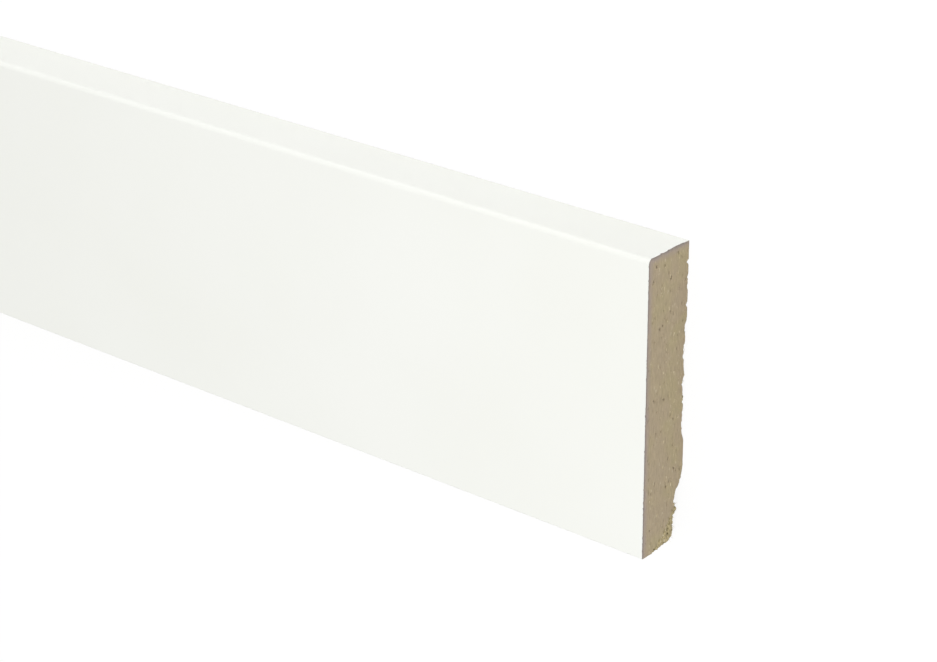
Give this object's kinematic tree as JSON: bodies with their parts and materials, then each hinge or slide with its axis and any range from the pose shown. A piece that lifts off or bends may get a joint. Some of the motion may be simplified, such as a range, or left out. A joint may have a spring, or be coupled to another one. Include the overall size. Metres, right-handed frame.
{
  "type": "skirting board length",
  "caption": "Straight length of square-edged skirting board with a white coated face and top edge, raw fibreboard back, underside and ends, and one sawn end torn along its back edge.",
  "frame": {"origin": "middle of the back face, which the board lies on", "axes": "+X along the length towards the sawn end with the torn back edge, +Y across the board towards its rounded top edge, +Z out of the white show face"},
  "size_m": [2.4, 0.09, 0.018],
  "materials": {
    "coated_mdf": "satin white coating on medium-density fibreboard"
  },
  "bodies": {
    "root": {"skirting_board": "coated_mdf"}
  },
  "joints": []
}
